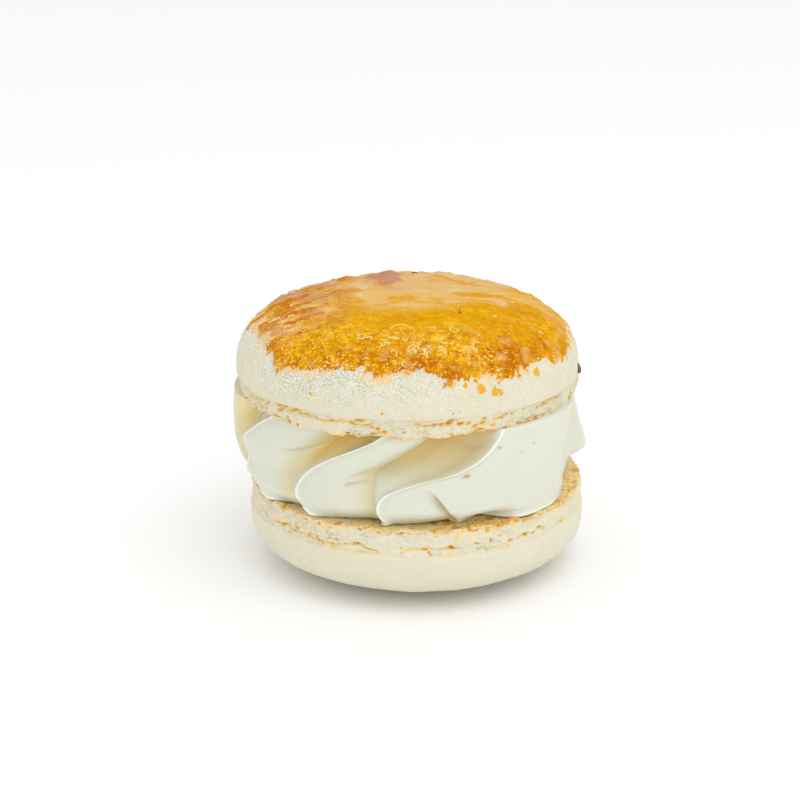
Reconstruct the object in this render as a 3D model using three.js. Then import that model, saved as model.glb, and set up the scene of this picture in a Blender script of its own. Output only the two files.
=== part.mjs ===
// A French macaron with a caramelised sugar top: two almond meringue shells with
// ruffled feet, and a tall swirl of buttercream piped through a star nozzle between them.
// Millimetres, +Z up. The origin is the middle of the flat spot that the lower shell rests on.
import * as THREE from "three";

// ---- Driving dimensions ----
const SHELL_RADIUS = 24.8;
const LOWER_DOME = 8.85; // height of the lower shell's dome, which points down
const LOWER_FOOT = 3.8;
const CREAM_HEIGHT = 13.2;
const UPPER_FOOT = 2.7;
const UPPER_DOME = 11.1;
const UPPER_SHIFT = -1.15; // the upper shell sits a little to one side
const SEAT_GAP = 0.05; // between the cream and each shell
const REST_RADIUS = 8; // flat spot under the lower shell

const LOWER_FACE = LOWER_DOME + LOWER_FOOT;
const UPPER_FACE = LOWER_FACE + CREAM_HEIGHT;

// ---- Grid sizes ----
const SHELL_COLUMNS = 88;
const CREAM_ROWS = 30;

const TURN = 2 * Math.PI;
const RADIANS = Math.PI / 180;

// ---- Small helpers ----
const clamp = (x, low = 0, high = 1) => Math.min(high, Math.max(low, x));
const mix = (a, b, t) => a + (b - a) * t;
const smoothstep = (x) => {
  const t = clamp(x);
  return t * t * (3 - 2 * t);
};
const bell = (x, width) => Math.exp(-((x / width) ** 2));

// A repeatable random number from 0 to 1 for a lattice point.
function latticeValue(i, j, k, seed) {
  const wave = Math.sin(i * 127.1 + j * 311.7 + k * 191.3 + seed * 74.7) * 43758.5453;
  return wave - Math.floor(wave);
}

// Smooth noise from -1 to 1 at a point, changing over about `step` millimetres.
function noise(point, step, seed) {
  const cell = point.map((value) => Math.floor(value / step));
  const [u, v, w] = point.map((value, k) => smoothstep(value / step - cell[k]));
  const at = (i, j, k) => latticeValue(cell[0] + i, cell[1] + j, cell[2] + k, seed);
  const row = (j, k) => mix(at(0, j, k), at(1, j, k), u);
  const layer = (k) => mix(row(0, k), row(1, k), v);
  return 2 * mix(layer(0), layer(1), w) - 1;
}

// A closed body from rings of points, listed from the bottom up and turning
// anticlockwise seen from above, with a pole point under the first and over the last.
function bodyFromRings(bottomPole, rings, topPole) {
  const columns = rings[0].length;
  const points = [bottomPole, ...rings.flat(), topPole];
  const last = points.length - 1;
  const index = [];
  const at = (row, column) => 1 + row * columns + (column % columns);
  for (let c = 0; c < columns; c++) {
    index.push(0, at(0, c + 1), at(0, c));
    for (let r = 0; r + 1 < rings.length; r++) {
      index.push(at(r, c), at(r, c + 1), at(r + 1, c + 1));
      index.push(at(r, c), at(r + 1, c + 1), at(r + 1, c));
    }
    index.push(at(rings.length - 1, c), at(rings.length - 1, c + 1), last);
  }
  const geometry = new THREE.BufferGeometry();
  geometry.setAttribute("position", new THREE.Float32BufferAttribute(points.flat(), 3));
  geometry.setIndex(index);
  geometry.computeVertexNormals();
  return geometry;
}

// ---- Shells ----
// A shell is modelled dome up, with its flat face at height 0: the face, the crumbly
// foot, the seam above it, and a dome whose section is a superellipse. The steps are
// shares of the rim's radius, of the foot's height and of a quarter turn over the dome.
const FACE_STEPS = [0.45, 0.8];
const FOOT_STEPS = [0, 0.14, 0.38, 0.62, 0.85, 1];
const DOME_STEPS = [0.04, 0.13, 0.25, 0.38, 0.5, 0.62, 0.74, 0.86];
const RIM_BEVEL = 0.45; // the foot's rounded lower rim
const SEAM_DEPTH = 0.32; // groove between the foot and the dome
const RAGGED_RIM = 0.4; // how far the foot's rim wanders in and out
const RUFFLE = { step: 3.4, height: 0.42 }; // the foot's folds
const CRUMB = { step: 1.7, height: 0.4 }; // the foot's crumbs
const DOME_WAVE = { step: 8, height: 0.1 };
const CRUST = { step: 3.1, height: 0.24, radius: 23.6 }; // torched sugar over the dome

function shellPoint(angle, radius, height) {
  return [radius * Math.sin(angle), -radius * Math.cos(angle), height];
}

const relief = (point, wave, seed) => wave.height * noise(point, wave.step, seed);

// The foot's wall at a share of its height, with its ruffles and crumbs.
function footPoint(angle, share, shell) {
  const rounded = 1 - smoothstep(share / FOOT_STEPS[1]);
  const waist = shell.footInset * Math.sin(Math.PI * Math.max(share, 0.3));
  const seam = share === 1 ? SEAM_DEPTH : 0;
  const inset = shell.rimInset * (1 - share) + RIM_BEVEL * rounded + waist + seam;
  const radius = SHELL_RADIUS - inset;
  const at = shellPoint(angle, radius, share * shell.foot);
  const rim = RAGGED_RIM * noise(shellPoint(angle, radius, 0), CRUMB.step, shell.seed + 3);
  const wall = share > 0 && share < 1 ? 1 : 0;
  const rough = relief(at, RUFFLE, shell.seed) + relief(at, CRUMB, shell.seed + 5);
  return shellPoint(angle, radius + rim * (1 - share) + wall * rough, share * shell.foot);
}

// Gentle unevenness of the dome, with the crust and crags of sugar on the upper shell.
function domeRelief(point, shell) {
  const [x, y] = point;
  const radius = Math.hypot(x, y);
  const wave = relief(point, DOME_WAVE, shell.seed + 9);
  const crags = shell.crags.map((crag) => crag.height * bell(Math.hypot(x - crag.x, y - crag.y), crag.size));
  const raised = crags.reduce((sum, height) => sum + height, wave);
  if (!shell.sugared) return raised;
  const inside = smoothstep((CRUST.radius - radius) / 1.5);
  return raised + inside * (CRUST.height / 2 + relief(point, CRUST, shell.seed + 12));
}

// The dome at a share of a quarter turn from its foot to its top.
function domePoint(angle, step, shell) {
  const turn = (step * Math.PI) / 2;
  const radius = SHELL_RADIUS * Math.cos(turn) ** (2 / shell.sideCurve);
  const height = shell.foot + shell.dome * Math.sin(turn) ** (2 / shell.crownCurve);
  const out = domeRelief(shellPoint(angle, radius, height), shell);
  const lifted = Math.min(height + out * Math.sin(turn), shell.flatAt);
  return shellPoint(angle, radius + out * Math.cos(turn), lifted);
}

function shellGeometry(shell) {
  const rim = SHELL_RADIUS - shell.rimInset;
  const profile = [
    ...FACE_STEPS.map((share) => (angle) => shellPoint(angle, rim * share, 0)),
    ...FOOT_STEPS.map((share) => (angle) => footPoint(angle, share, shell)),
    ...DOME_STEPS.map((step) => (angle) => domePoint(angle, step, shell)),
  ];
  if (shell.restRadius > 0) {
    profile.push((angle) => shellPoint(angle, shell.restRadius, shell.flatAt));
  }
  const rings = profile.map((ring) =>
    Array.from({ length: SHELL_COLUMNS }, (_, c) => ring((TURN * c) / SHELL_COLUMNS)),
  );
  const [, , top] = domePoint(0, 1, shell);
  return bodyFromRings([0, 0, 0], rings, [0, 0, Math.min(top, shell.flatAt)]);
}

const lowerShell = {
  seed: 3,
  foot: LOWER_FOOT,
  dome: LOWER_DOME,
  sideCurve: 2.48,
  crownCurve: 3.6,
  rimInset: 0.2,
  footInset: 0.1,
  sugared: false,
  restRadius: REST_RADIUS,
  flatAt: LOWER_FACE,
  crags: [],
};

const upperShell = {
  seed: 8,
  foot: UPPER_FOOT,
  dome: UPPER_DOME,
  sideCurve: 3.08,
  crownCurve: 2.68,
  rimInset: 0.2,
  footInset: 0.35,
  sugared: true,
  restRadius: 0,
  flatAt: Infinity,
  crags: [
    { x: -3.5, y: 17.5, size: 2.6, height: 0.6 },
    { x: 4.5, y: 16.5, size: 2.2, height: 0.35 },
    { x: -12, y: 14, size: 2.4, height: 0.35 },
  ],
};

// ---- Piped cream ----
// Each lobe is a fold of cream left by one tooth of the nozzle. Its lip and the groove on
// its right are lines of [share of the cream's height, degrees from the front to the
// right]. The face runs from the lip to the groove, staying plump for longer with a
// larger `bulge`, and the flank climbs from the groove to the next lobe's lip. `reach` is
// the lip's distance from the axis and `depth` the groove's depth, both by height.
const HOOK = [[0, 0.12], [0.12, 0.02], [0.26, 0], [0.42, 0.14], [0.6, 0.4], [0.8, 0.7], [1, 1]];
const HOOK_GAPS = [5, 3.5, 3.5, 5, 9, 15, 22];
const hookLip = (angle, sweep) => HOOK.map(([share, turn]) => [share, angle + sweep * turn]);
const hookGroove = (angle, sweep) =>
  hookLip(angle, sweep).map(([share, at], k) => [share, at - HOOK_GAPS[k]]);

const SECOND_LIP = [[0, -36.5], [0.12, -41.2], [0.27, -42.6], [0.38, -41], [0.5, -37.8],
  [0.62, -33.3], [0.72, -28], [0.83, -21], [1, -10]];
const FRONT_LIP = [[0, -8.5], [0.12, -12], [0.26, -12.5], [0.38, -9.9], [0.47, -4.1],
  [0.54, 2.5], [0.6, 10.9], [0.68, 17.4], [0.77, 22.4], [0.85, 25.7], [1, 30]];
const FIRST_LIP = [[0, 288], [0.14, 283], [0.28, 282.5], [0.42, 280.5], [0.52, 281],
  [0.69, 289], [0.83, 296], [0.95, 303], [1, 306]];

const LOBES = [
  { face: 9, flank: 8, bulge: 5, lip: SECOND_LIP,
    groove: [[0, -11.5], [0.1, -13.6], [0.3, -15], [0.44, -15], [0.54, -14.3], [0.6, -12.2],
      [0.71, -5.1], [0.83, 1.3], [0.9, 5.5], [1, 10]],
    reach: [[0, 24], [0.3, 24.4], [0.7, 24.3], [1, 23.8]],
    depth: [[0, 1.2], [0.3, 1.6], [0.5, 2.4], [0.6, 3.2], [0.75, 4.4], [1, 5.5]] },
  { face: 24, flank: 6, bulge: 7, lip: FRONT_LIP,
    groove: [[0, 72], [0.3, 72], [0.55, 73], [0.8, 76], [1, 80]],
    reach: [[0, 24], [0.3, 24.5], [0.7, 24.4], [1, 24]],
    depth: [[0, 1.5], [0.3, 3], [1, 3.6]] },
  { face: 8, flank: 7, bulge: 4,
    lip: [[0, 86], [0.2, 88], [0.37, 90], [0.55, 95], [0.8, 102], [1, 110]],
    groove: hookGroove(126, 36),
    reach: [[0, 22.2], [0.17, 22.4], [0.24, 23.9], [0.3, 24.9], [0.42, 24.7], [0.6, 24.1],
      [1, 23.6]],
    depth: [[0, 1.4], [0.4, 2.2], [0.7, 4.4], [1, 5.2]] },
  { face: 8, flank: 7, bulge: 5, lip: hookLip(126, 36), groove: hookGroove(168, 32),
    reach: [[0, 23.8], [0.3, 24.8], [0.7, 24.6], [1, 23.8]],
    depth: [[0, 1.4], [0.4, 2.2], [0.7, 4.4], [1, 5.4]] },
  { face: 8, flank: 7, bulge: 5, lip: hookLip(168, 32), groove: hookGroove(212, 30),
    reach: [[0, 24], [0.35, 25.2], [0.7, 24.8], [1, 24]],
    depth: [[0, 1.4], [0.4, 2.2], [0.7, 4.4], [1, 5.4]] },
  { face: 12, flank: 4, bulge: 16, lip: hookLip(212, 30),
    groove: [[0, 283], [0.2, 279], [0.5, 277], [0.7, 280], [0.85, 286], [1, 292]],
    reach: [[0, 24.6], [0.1, 25.4], [0.25, 26.3], [0.4, 26.9], [0.65, 26.8], [1, 26.2]],
    depth: [[0, 1.5], [0.3, 3.6], [0.7, 4], [1, 4]] },
  { face: 10, flank: 8, bulge: 5, lip: FIRST_LIP,
    groove: [[0, 318], [0.1, 315.5], [0.23, 313.7], [0.34, 313.8], [0.47, 317.1],
      [0.57, 320.1], [0.66, 323.7], [0.77, 327.3], [0.86, 330.9], [1, 337]],
    reach: [[0, 24], [0.14, 24.9], [0.3, 24.4], [0.5, 25.1], [0.7, 24.6], [1, 23.9]],
    depth: [[0, 0.8], [0.25, 1.2], [0.45, 2], [0.6, 3.2], [0.75, 4.3], [1, 5.5]] },
];

// Where the cream meets the lower shell: [degrees, distance from the axis].
const FOOTPRINT = [
  [-84, 22.5], [-60, 24], [-52, 21.5], [-43, 21], [-40, 23.6], [-30, 21.6], [-17, 20],
  [-13, 20.5], [-11.6, 22.8], [-8, 21.5], [1.5, 20.9], [12, 20], [14.5, 21.8], [25.7, 19.3],
  [32, 22], [37, 24.2], [48, 23.8], [62, 22.7], [80, 21], [86, 21.5], [100, 22],
  [120, 20.6], [130, 23.4], [145, 21.8], [162, 20.4], [171, 23.4], [190, 21.6], [206, 20.6],
  [215, 23.8], [240, 23.2], [262, 23], [276, 22.5],
];
// The front lobe's left edge, lying over a small fold: [height, degrees].
const OVERLAP = [[12.6, 15.2], [13.4, 13.9], [15.2, 10.4], [16.5, 8.3], [17.8, 6], [18.9, 3.5]];
const OVERLAP_DROP = 1.5;
const OVERLAP_EDGE = 1.3; // width of the step at that edge
const OVERLAP_FADE = 2.6; // how soon the small fold rises again
const LIFTED = { angle: 25.5, spread: 7, top: 14.2, depth: 3 }; // edge raised off the shell
const EDGE_ROUND = 0.11; // rounding above the lower shell, as a share of the height
const LEAN = 0.4; // how far flanks reach in behind their lips, by their depth
const FLANK_HOLLOW = 2.2; // how hollow the flanks are; 1 is straight
const ARC = (24.3 * Math.PI) / 180; // millimetres round the cream for a degree

// The straight run through a list of [position, value] points.
function lineThrough(points, x) {
  let k = 0;
  while (k < points.length - 2 && x > points[k + 1][0]) k++;
  const t = clamp((x - points[k][0]) / (points[k + 1][0] - points[k][0]));
  return mix(points[k][1], points[k + 1][1], t);
}

// A smooth curve through such points, with slopes taken from the neighbours.
function curveThrough(points, x) {
  const last = points.length - 2;
  let k = 0;
  while (k < last && x >= points[k + 1][0]) k++;
  const [x0, y0] = points[k];
  const [x1, y1] = points[k + 1];
  const before = points[Math.max(k - 1, 0)];
  const after = points[Math.min(k + 2, last + 1)];
  const width = x1 - x0;
  const straight = (y1 - y0) / width;
  const slope0 = (y1 - before[1]) / (x1 - before[0]);
  const slope1 = (after[1] - y0) / (after[0] - x0);
  const t = (x - x0) / width;
  const bend = t * (1 - t) * width;
  return mix(y0, y1, t) + bend * ((1 - t) * (slope0 - straight) - t * (slope1 - straight));
}

// The small fold is lower beside the front lobe's edge, and rises again to its left.
function overlapDrop(degrees, height) {
  const left = (lineThrough(OVERLAP, height) - degrees) * ARC;
  if (degrees < FRONT_LIP[2][1] || left < 0) return 0;
  const fade = smoothstep((18.9 - height) / 2.5);
  const risen = Math.exp(-Math.max(left - OVERLAP_EDGE, 0) / OVERLAP_FADE);
  return OVERLAP_DROP * fade * smoothstep(left / OVERLAP_EDGE) * risen;
}

// Draws a point of the cream in where it meets the lower shell and under lifted edges.
function settledRadius(degrees, level, radius) {
  const turned = ((degrees + 84 + 360) % 360) - 84;
  const height = level + LOWER_FACE;
  const lift = smoothstep((LIFTED.top - height) / 0.4) * bell(turned - LIFTED.angle, LIFTED.spread);
  const whole = radius - overlapDrop(turned, height) - LIFTED.depth * lift;
  const rise = clamp(level / (EDGE_ROUND * CREAM_HEIGHT));
  const rounded = Math.sqrt(1 - (1 - rise) ** 2);
  return mix(Math.min(lineThrough(FOOTPRINT, turned), whole), whole, rounded);
}

function creamPoint(degrees, level, radius) {
  const squeeze = (CREAM_HEIGHT - 2 * SEAT_GAP) / CREAM_HEIGHT;
  const settled = settledRadius(degrees, level, radius);
  return shellPoint(degrees * RADIANS, settled, LOWER_FACE + SEAT_GAP + level * squeeze);
}

// One ring of the cream at a share of its height.
function creamRing(share) {
  const ring = [];
  const height = share * CREAM_HEIGHT;
  const faded = Math.min(1, 8 * share, 8 * (1 - share));
  LOBES.forEach((lobe, k) => {
    const next = LOBES[(k + 1) % LOBES.length];
    const from = curveThrough(lobe.lip, share);
    const groove = curveThrough(lobe.groove, share);
    const to = curveThrough(next.lip, share) + (k + 1 === LOBES.length ? 360 : 0);
    const reach = curveThrough(lobe.reach, share);
    const nextReach = curveThrough(next.reach, share);
    const depth = curveThrough(lobe.depth, share);
    for (let i = 0; i < lobe.face; i++) {
      const a = i / lobe.face;
      const sunk = depth * (0.05 * a + 0.95 * a ** lobe.bulge);
      ring.push(creamPoint(mix(from, groove, a), height, reach + 0.25 * Math.sin(Math.PI * a) - sunk));
    }
    const climb = curveThrough(next.lip, Math.min(share + 0.04, 1))
      - curveThrough(next.lip, Math.max(share - 0.04, 0));
    const slope = Math.atan2(0.08 * CREAM_HEIGHT, climb * ARC);
    for (let i = 0; i < lobe.flank; i++) {
      const w = i / lobe.flank;
      const radius = mix(reach - depth, nextReach, w ** FLANK_HOLLOW);
      const shear = LEAN * faded * (nextReach - radius) * smoothstep((w - 0.35) / 0.4);
      const behind = (shear * Math.sin(slope)) / (radius * RADIANS);
      ring.push(creamPoint(mix(groove, to, w) + behind, height - shear * Math.cos(slope), radius));
    }
  });
  return ring;
}

function creamGeometry() {
  const rings = Array.from({ length: CREAM_ROWS }, (_, i) => {
    const even = i / (CREAM_ROWS - 1);
    return creamRing(mix(even, smoothstep(even), 0.5));
  });
  const inner = (ring, share) => ring.map(([x, y, z]) => [x * share, y * share, z]);
  return bodyFromRings(
    [0, 0, LOWER_FACE + SEAT_GAP],
    [inner(rings[0], 0.5), ...rings, inner(rings[CREAM_ROWS - 1], 0.5)],
    [0, 0, UPPER_FACE - SEAT_GAP],
  );
}

// ---- The macaron ----
function matte(color, roughness) {
  return new THREE.MeshStandardMaterial({ color, roughness, metalness: 0 });
}

function named(name, geometry, material) {
  const mesh = new THREE.Mesh(geometry, material);
  mesh.name = name;
  return mesh;
}

const macaron = new THREE.Group();

const lower = named("shell_lower", shellGeometry(lowerShell), matte(0xe9e1c8, 0.8));
lower.rotation.x = Math.PI;
lower.position.z = LOWER_FACE;
macaron.add(lower);

const cream = named("cream_filling", creamGeometry(), matte(0xefe9d6, 0.45));
macaron.add(cream);

const upper = named("shell_upper", shellGeometry(upperShell), matte(0xe2a644, 0.6));
upper.position.set(UPPER_SHIFT, 0, UPPER_FACE);
macaron.add(upper);

export default macaron;
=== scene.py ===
"""A French macaron with a torched sugar top: two ruffled almond shells and piped cream.

Shapes are worked out in millimetres as whole arrays, and put into meshes in metres.
Angles run from the front (-Y) round to the right (+X).
"""
import math
from itertools import product

import bpy
import numpy as np
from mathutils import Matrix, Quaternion, Vector


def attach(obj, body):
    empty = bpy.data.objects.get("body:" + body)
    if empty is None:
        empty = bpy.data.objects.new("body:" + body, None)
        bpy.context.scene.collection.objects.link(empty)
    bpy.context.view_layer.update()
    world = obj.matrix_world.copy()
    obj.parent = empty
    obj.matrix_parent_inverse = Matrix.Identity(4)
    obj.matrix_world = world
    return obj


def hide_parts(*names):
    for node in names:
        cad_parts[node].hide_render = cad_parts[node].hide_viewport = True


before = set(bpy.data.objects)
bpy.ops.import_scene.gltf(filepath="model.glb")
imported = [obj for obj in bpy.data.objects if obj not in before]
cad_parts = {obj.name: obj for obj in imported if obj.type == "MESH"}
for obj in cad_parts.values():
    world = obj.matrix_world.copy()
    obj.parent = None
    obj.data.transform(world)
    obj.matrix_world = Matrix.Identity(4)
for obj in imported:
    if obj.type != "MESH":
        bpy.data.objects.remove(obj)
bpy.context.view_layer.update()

SCENE = bpy.context.scene
MM = 0.001
TURN = 2 * math.pi
SEED = 7

# The macaron's driving sizes, in millimetres.
SHELL_RADIUS = 24.8
# The lower shell is narrower on the left: a share of its width, and millimetres aside.
LOWER_NARROW = 0.99
LOWER_ASIDE = 0.25
LOWER_DOME = 8.85
LOWER_FOOT = 3.8
CREAM_HEIGHT = 13.2
UPPER_FOOT = 2.7
UPPER_DOME = 11.1
UPPER_SHIFT = -1.15
SEAT_GAP = 0.05
REST_RADIUS = 8.0
LOWER_FACE = LOWER_DOME + LOWER_FOOT
UPPER_FACE = LOWER_FACE + CREAM_HEIGHT
UPPER_PLACE = np.array((UPPER_SHIFT, 0.0, UPPER_FACE))


# ---- Numbers and noise ----
def ease(x):
    """A cubic step from 0 to 1."""
    t = np.clip(x, 0.0, 1.0)
    return t * t * (3.0 - 2.0 * t)


def mix(a, b, t):
    return a + (b - a) * t


def bell(x, width):
    return np.exp(-((x / width) ** 2))


def lattice(corner, seed):
    """A repeatable random number from 0 to 1 for a corner of whole numbers: a mixed hash."""
    i, j, k = corner[..., 0], corner[..., 1], corner[..., 2]
    h = (i * 374761393 + j * 668265263 + k * 1440662683 + seed * 1274126177) & 0xFFFFFFFF
    h = ((h ^ (h >> 13)) * 1103515245) & 0xFFFFFFFF
    h = ((h ^ (h >> 16)) * 668265263) & 0xFFFFFFFF
    return ((h ^ (h >> 15)) & 0xFFFF) / 65535.0


def noise(points, cell, seed):
    """Smooth noise from -1 to 1: the eight lattice numbers round a point, eased together."""
    p = points / cell
    corner = np.floor(p).astype(np.int64)
    far = ease(p - corner)
    total = 0.0
    for step in product((0, 1), repeat=3):
        near = np.abs(1 - np.array(step) - far)
        weight = near[..., 0] * near[..., 1] * near[..., 2]
        total = total + weight * lattice(corner + np.array(step), seed)
    return 2.0 * total - 1.0


def rough(points, cell, seed, octaves=3):
    """Noise added to itself at half the size and half the height each time."""
    total = 0.0
    for k in range(octaves):
        total = total + noise(points, cell / 2**k, seed + 17 * k) / 2**k
    return total


def bubbles(points, cell, seed):
    """The distances to the nearest and next nearest of random points, one in each cell."""
    p = points / cell
    corner = np.floor(p).astype(np.int64)
    first = np.full(p.shape[:-1], 9.0)
    second = first
    for step in product((-1, 0, 1), repeat=3):
        at = corner + np.array(step)
        spot = at + np.stack([lattice(at, seed + axis) for axis in range(3)], axis=-1)
        away = np.linalg.norm(p - spot, axis=-1)
        second = np.minimum(second, np.maximum(first, away))
        first = np.minimum(first, away)
    return first, second


# ---- Meshes ----
def stacked(*parts):
    """Arrays or numbers set side by side, such as x, y and z as points."""
    return np.stack(np.broadcast_arrays(*parts), axis=-1)


def round_axis(angle, radius, height):
    """Points or directions: an angle round the axis, a distance from it and a height."""
    return stacked(radius * np.sin(angle), -radius * np.cos(angle), height)


def add_piece(name, points, faces, material, values=None, smooth=True):
    """A mesh object from points in millimetres, faces, and named values at each point."""
    mesh = bpy.data.meshes.new(name)
    mesh.from_pydata((points * MM).tolist(), [], faces)
    for key, value in (values or {}).items():
        layer = mesh.attributes.new(key, "FLOAT", "POINT")
        layer.data.foreach_set("value", np.asarray(value, dtype=np.float32).ravel())
    if smooth:
        mesh.polygons.foreach_set("use_smooth", np.ones(len(mesh.polygons), dtype=bool))
    mesh.update()
    mesh.materials.append(material)
    piece = bpy.data.objects.new(name, mesh)
    SCENE.collection.objects.link(piece)
    return piece


def ring_faces(rows, columns, start=0):
    """Quads between rings that close on themselves, listed upwards and anticlockwise."""
    r, c = np.meshgrid(np.arange(rows - 1), np.arange(columns), indexing="ij")
    right = (c + 1) % columns
    below, above = r * columns, (r + 1) * columns
    return stacked(below + c, below + right, above + right, above + c).reshape(-1, 4) + start


def closed_faces(rows, columns, start=0):
    """The same, closed by a pole under the first ring and one over the last ring."""
    c = np.arange(columns)
    right = (c + 1) % columns
    top = (rows - 1) * columns
    pole = rows * columns
    fans = [stacked(pole, right, c), stacked(top + c, top + right, pole + 1)]
    fans = np.concatenate(fans) + start
    return ring_faces(rows, columns, start).tolist() + fans.tolist()


def closed_body(name, rings, poles, values, material):
    """Rings of points and their two poles, as one closed mesh."""
    rows, columns = rings.shape[:2]
    points = np.concatenate([rings.reshape(-1, 3), poles])
    filled = {}
    for key, value in values.items():
        value = np.broadcast_to(value, (rows, columns))
        filled[key] = np.concatenate([value.ravel(), [value[0].mean(), value[-1].mean()]])
    return add_piece(name, points, closed_faces(rows, columns), material, filled)


# ---- Shells ----
SHELL_COLUMNS = 620
SHELL_ROWS = 158
RIM_ROUND = 0.3
RIM_INSET = 0.2
# The flat face starts this far from the axis, and the cream hides it up to HIDDEN_WITHIN.
FIRST_RING = 0.4
HIDDEN_WITHIN = 19.5

# hot is where the flat face is toasted most, in degrees, and rim how toasted its edge is.
LOWER = dict(
    seed=3, foot=LOWER_FOOT, dome=LOWER_DOME, side_curve=2.48, crown_curve=3.6,
    hot=138, rim=0.8, sugared=False,
)
UPPER = dict(
    seed=8, foot=UPPER_FOOT, dome=UPPER_DOME, side_curve=3.08, crown_curve=2.68,
    hot=30, rim=0.45, sugared=True,
)


def shell_profile(shell):
    """A shell's section, dome up, from the middle of its flat face to the top of its dome.

    The face is level, a quarter circle rounds the rim, the foot's wall leans out a little,
    and the dome is a superellipse. These are drawn finely, and then spaced again in rows
    that lie closer together on the foot.
    """
    rim = SHELL_RADIUS - RIM_INSET
    face = np.linspace(FIRST_RING, rim - RIM_ROUND, 60)
    turn = np.linspace(0, math.pi / 2, 12)[1:]
    wall = np.linspace(RIM_ROUND, shell["foot"], 30)[1:]
    arc = (1 - np.cos(np.linspace(0, math.pi, 400)[1:-1])) * math.pi / 4
    radius = np.concatenate([
        face,
        rim - RIM_ROUND + RIM_ROUND * np.sin(turn),
        mix(rim, SHELL_RADIUS, (wall - RIM_ROUND) / (shell["foot"] - RIM_ROUND)),
        SHELL_RADIUS * np.cos(arc) ** (2 / shell["side_curve"]),
    ])
    height = np.concatenate([
        np.zeros(len(face)),
        RIM_ROUND - RIM_ROUND * np.cos(turn),
        wall,
        shell["foot"] + shell["dome"] * np.sin(arc) ** (2 / shell["crown_curve"]),
    ])
    middle = (radius[1:] + radius[:-1]) / 2
    hidden = (height[1:] < 0.01) & (middle < HIDDEN_WITHIN)
    on_foot = (height[1:] <= shell["foot"] + 0.6) & (middle > HIDDEN_WITHIN)
    weight = np.where(hidden, 0.15, np.where(on_foot, 2.2, 1.0))
    along = np.concatenate([[0], np.cumsum(np.hypot(np.diff(radius), np.diff(height)) * weight)])
    even = np.linspace(0, along[-1], SHELL_ROWS)
    return np.interp(even, along, radius), np.interp(even, along, height)


def profile_normals(radius, height):
    """Outward directions of a section that runs from the axis out and up."""
    across = np.gradient(radius)
    up = np.gradient(height)
    size = np.hypot(across, up)
    return up / size, -across / size


# The torched sugar's outer edge: degrees from the front and distances from the axis.
CARAMEL_EDGE = [
    (-83, 21.9), (-66, 22.4), (-56, 22.9), (-45, 24.0), (-34, 23.7), (-24, 22.9), (-8, 23.1),
    (4, 22.9), (12, 23.9), (26, 23.6), (36, 23.9), (46, 23.3), (64, 24.2), (83, 23.3), (120, 23.7),
    (150, 22.8), (180, 23.5), (215, 22.9), (245, 23.6), (277, 22.9),
]


def turned_from(first, degrees):
    """The same angle, counted from a first one to 360 degrees past it."""
    return (degrees - first) % 360 + first


def caramel_edge(degrees):
    """How far from the axis the torched sugar reaches."""
    angles, edges = np.array(CARAMEL_EDGE).T
    return np.interp(turned_from(angles[0], degrees), angles, edges)


def along_dome(radius):
    """Distance over the upper dome, from its top to a distance from its axis."""
    turn = np.linspace(0, math.pi / 2, 500)
    across = SHELL_RADIUS * np.sin(turn) ** (2 / UPPER["side_curve"])
    up = UPPER_DOME * np.cos(turn) ** (2 / UPPER["crown_curve"])
    arc = np.concatenate([[0], np.cumsum(np.hypot(np.diff(across), np.diff(up)))])
    return np.interp(radius, across, arc)


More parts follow.
